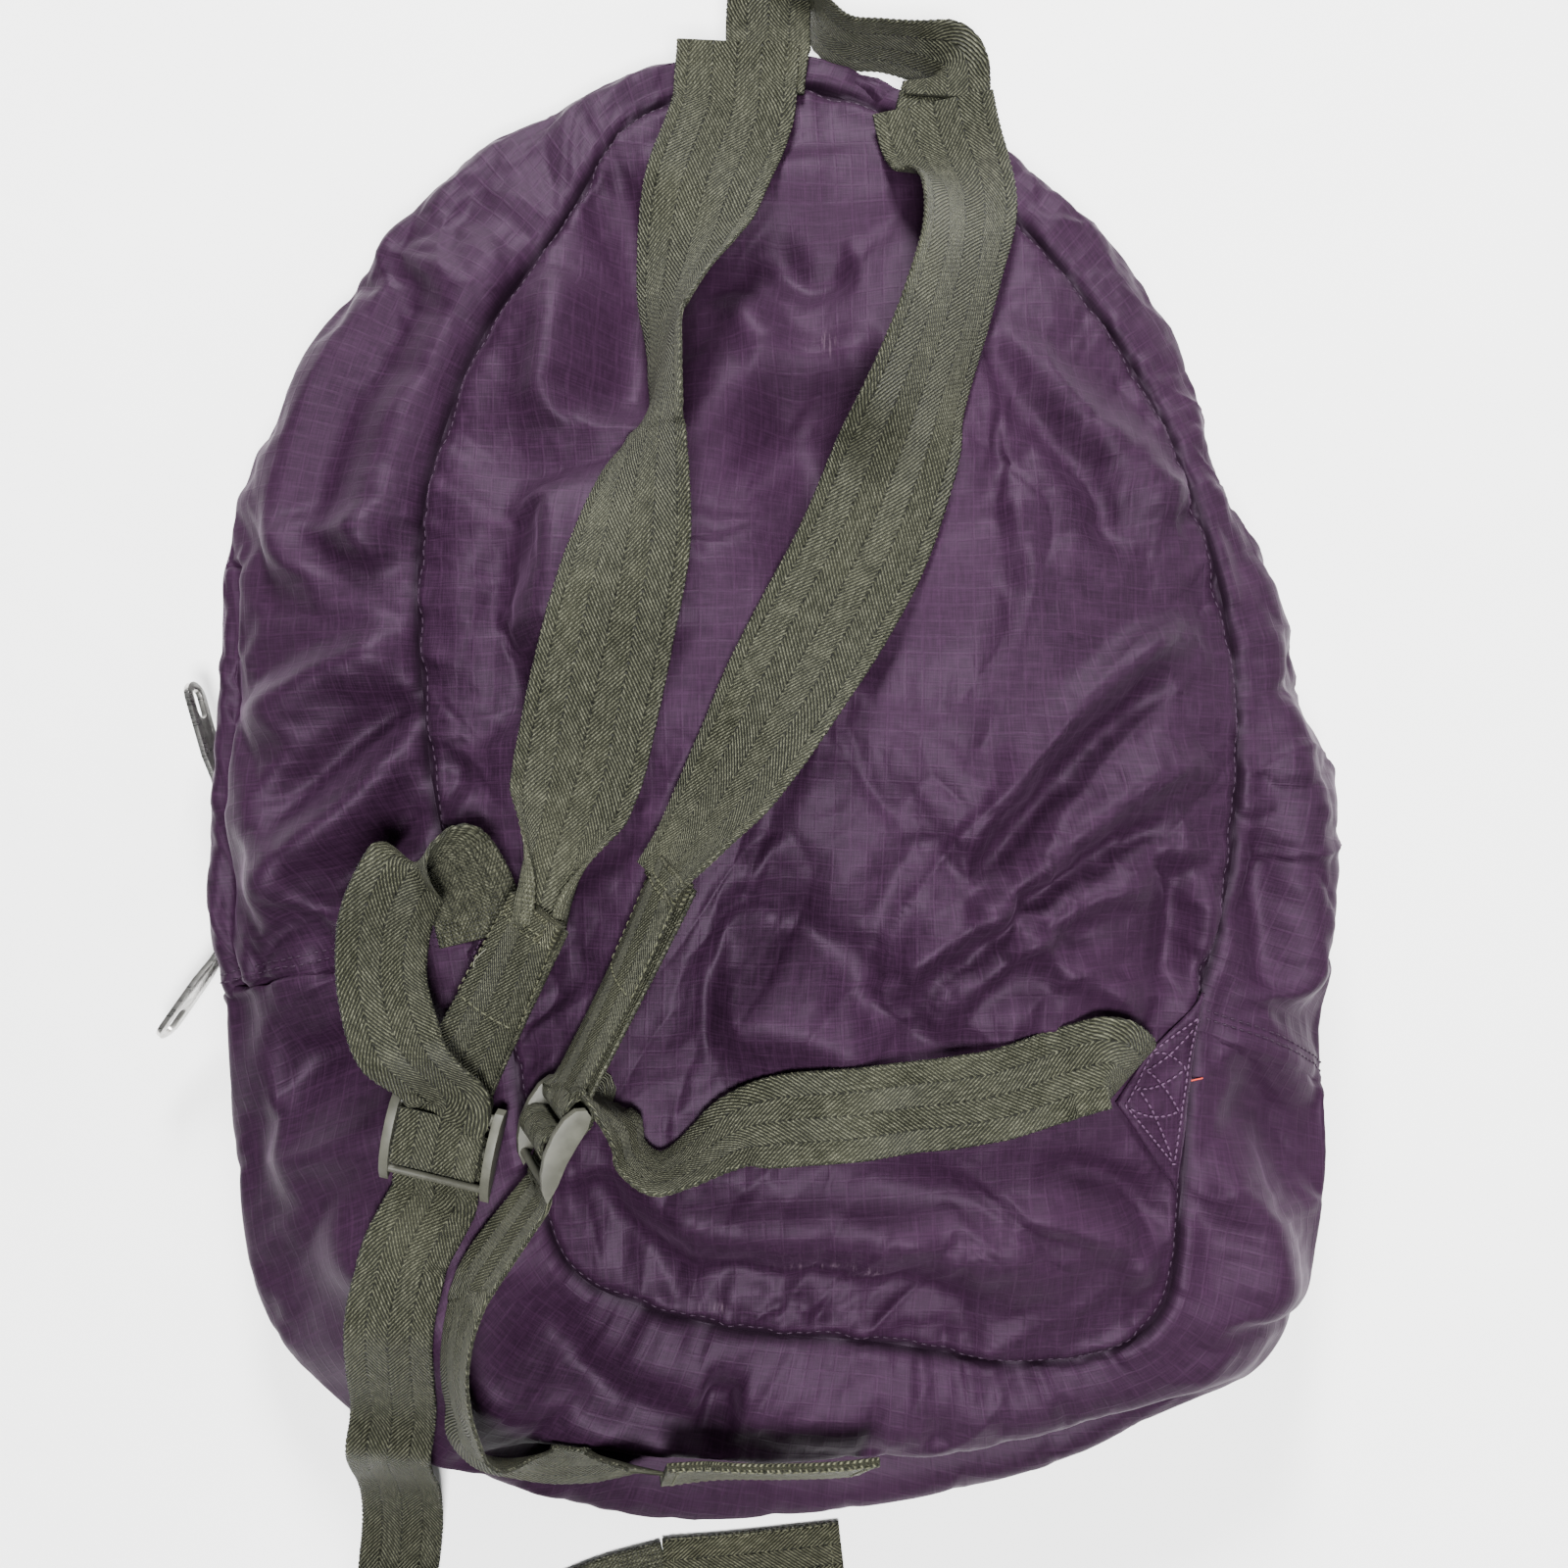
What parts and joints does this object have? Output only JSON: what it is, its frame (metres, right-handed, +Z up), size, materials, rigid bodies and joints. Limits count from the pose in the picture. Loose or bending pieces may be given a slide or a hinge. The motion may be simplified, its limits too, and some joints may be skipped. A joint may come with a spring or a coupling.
{
  "type": "daypack",
  "caption": "Light packable daypack lying on its front: ripstop fabric bag, webbing shoulder straps with ladder locks, carry loop and a two-slider zip.",
  "frame": {"origin": "middle of the flat front panel, on the surface the bag lies on", "axes": "+Z up out of the back panel, +Y to the top of the bag, +X to the side away from the zip sliders"},
  "size_m": [0.3525, 0.5317, 0.1071],
  "materials": {
    "ripstop_fabric": "satin",
    "webbing": "matt woven",
    "zip_tape": "matt woven",
    "seam_binding": "matt woven",
    "zip_metal": "nickel",
    "buckle_plastic": "satin moulded"
  },
  "bodies": {
    "bag": {"back_panel": "ripstop_fabric", "upper_gusset_back": "ripstop_fabric", "upper_gusset_front": "ripstop_fabric", "lower_gusset": "ripstop_fabric", "front_panel": "ripstop_fabric", "left_anchor_tab": "ripstop_fabric", "right_anchor_tab": "ripstop_fabric", "left_shoulder_strap": "webbing", "right_shoulder_strap": "webbing", "left_strap_loop": "webbing", "right_strap_loop": "webbing", "left_adjuster_webbing": "webbing", "right_adjuster_webbing": "webbing", "left_adjuster_tail": "webbing", "right_adjuster_tail": "webbing", "left_tail_hem": "webbing", "right_tail_hem": "webbing", "haul_loop_root_left": "webbing", "haul_loop_root_right": "webbing", "zip_tape_back": "zip_tape", "zip_tape_front": "zip_tape", "zip_coil_back": "zip_tape", "zip_coil_front": "zip_tape", "back_seam_binding": "seam_binding", "front_seam_binding": "seam_binding", "zip_stop_left": "zip_metal", "zip_stop_right": "zip_metal"},
    "upper_slider_body": {"upper_slider": "zip_metal"},
    "upper_pull_body": {"upper_pull": "zip_metal"},
    "lower_slider_body": {"lower_slider": "zip_metal"},
    "lower_pull_body": {"lower_pull": "zip_metal"},
    "left_lock_body": {"left_ladder_lock": "buckle_plastic", "left_adjuster_wrap": "webbing"},
    "right_lock_body": {"right_ladder_lock": "buckle_plastic", "right_adjuster_wrap": "webbing"},
    "haul_loop_body": {"haul_loop": "webbing"}
  },
  "joints": [
    {"name": "upper_slider_travel", "type": "slide", "parent": "bag", "child": "upper_slider_body", "axis": [0.0268, 0.9996, 0], "range_m": [-0.002, 0.036]},
    {"name": "upper_pull_swing", "type": "hinge", "parent": "upper_slider_body", "child": "upper_pull_body", "pos_m": [-0.16958, -0.0034, 0.02355], "axis": [-0.2587, 0.0069, 0.9659], "range_deg": [-14, 130]},
    {"name": "lower_slider_travel", "type": "slide", "parent": "bag", "child": "lower_slider_body", "axis": [-0.2039, 0.9784, -0.034], "range_m": [0, 0.003]},
    {"name": "lower_pull_swing", "type": "hinge", "parent": "lower_slider_body", "child": "lower_pull_body", "pos_m": [-0.16856, -0.04883, 0.0241], "axis": [-0.2602, -0.0207, 0.9653], "range_deg": [-100, 25]},
    {"name": "left_lock_tilt", "type": "hinge", "parent": "bag", "child": "left_lock_body", "pos_m": [-0.09396, -0.09141, 0.0659], "axis": [-0.9728, 0.2068, -0.1045], "range_deg": [0, 35]},
    {"name": "right_lock_tilt", "type": "hinge", "parent": "bag", "child": "right_lock_body", "pos_m": [-0.0597, -0.08619, 0.08352], "axis": [0.3367, -0.1642, 0.9272], "range_deg": [0, 20]},
    {"name": "haul_loop_lift", "type": "hinge", "parent": "bag", "child": "haul_loop_body", "pos_m": [-0.0045, 0.2205, 0.029], "axis": [0.953, -0.2723, 0.1325], "range_deg": [0, 50]}
  ]
}
